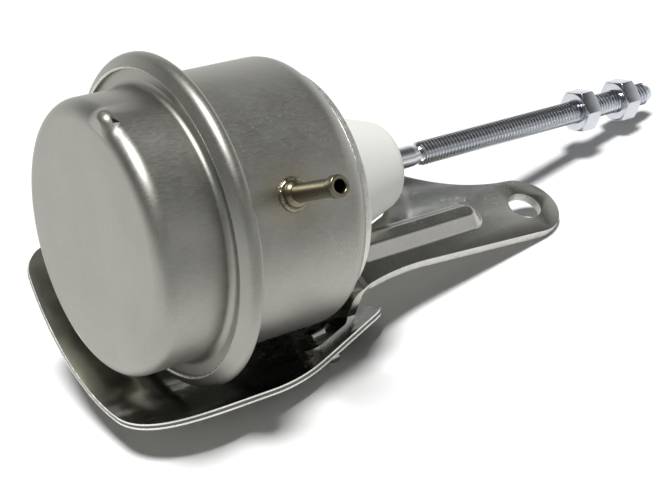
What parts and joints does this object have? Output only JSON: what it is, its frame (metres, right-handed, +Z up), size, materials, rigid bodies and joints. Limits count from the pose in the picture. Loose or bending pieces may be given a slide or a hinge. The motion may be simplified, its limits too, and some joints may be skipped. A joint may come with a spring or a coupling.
{
  "type": "wastegate actuator",
  "caption": "Pressure can with a diaphragm-driven threaded rod, side hose nipple, vented cover, bolted-on trough heat shield and a sheet steel bracket with a mounting hole.",
  "frame": {"origin": "centre of the bracket's mounting hole, on the arm's upper face", "axes": "+X along the rod towards its threaded tip, +Z up with the rod level as the part lies in the picture; the arm's face is turned 24 degrees about X"},
  "size_m": [0.1675, 0.0841, 0.079],
  "materials": {
    "can_steel": "satin stainless steel, fine grain",
    "bracket_steel": "satin stainless sheet, bright sheared edge",
    "shield_steel": "bright rolled stainless sheet",
    "screw_steel": "plain stainless steel",
    "nipple_brass": "pale plated brass",
    "white_plastic": "matte white moulded plastic",
    "bearing_bronze": "dull sintered bronze",
    "seal_rubber": "matte black rubber",
    "inner_steel": "plain pressed steel",
    "spring_steel": "drawn spring steel",
    "zinc_steel": "bright zinc plated steel"
  },
  "bodies": {
    "housing": {"canister": "can_steel", "end_cover": "can_steel", "end_plate": "bracket_steel", "mounting_bracket": "bracket_steel", "heat_shield": "shield_steel", "shield_screws": "screw_steel", "shield_nuts": "screw_steel", "hose_nipple": "nipple_brass", "guide_bush": "white_plastic", "guide_sleeve": "bearing_bronze", "rod_seal": "seal_rubber", "seal_washer": "inner_steel", "lock_ring": "inner_steel", "spring_seat": "inner_steel", "return_spring": "spring_steel", "diaphragm": "seal_rubber"},
    "rod_assembly": {"control_rod": "zinc_steel", "piston_cup": "inner_steel", "diaphragm_retainer": "inner_steel", "stop_bumper": "seal_rubber"},
    "first_nut": {"inner_nut": "zinc_steel"},
    "second_nut": {"outer_nut": "zinc_steel"}
  },
  "joints": [
    {"name": "rod_slide", "type": "slide", "parent": "housing", "child": "rod_assembly", "axis": [1, 0, 0], "range_m": [0, 0.012], "stiffness_N_per_m": 5000, "springref_m": -0.006, "deforming": ["return_spring", "diaphragm"]},
    {"name": "inner_nut_turn", "type": "hinge", "parent": "rod_assembly", "child": "first_nut", "pos_m": [0.0317, 0.01421, 0.01432], "axis": [1, 0, 0], "continuous": true},
    {"name": "outer_nut_turn", "type": "hinge", "parent": "rod_assembly", "child": "second_nut", "pos_m": [0.0463, 0.01421, 0.01432], "axis": [1, 0, 0], "continuous": true}
  ]
}
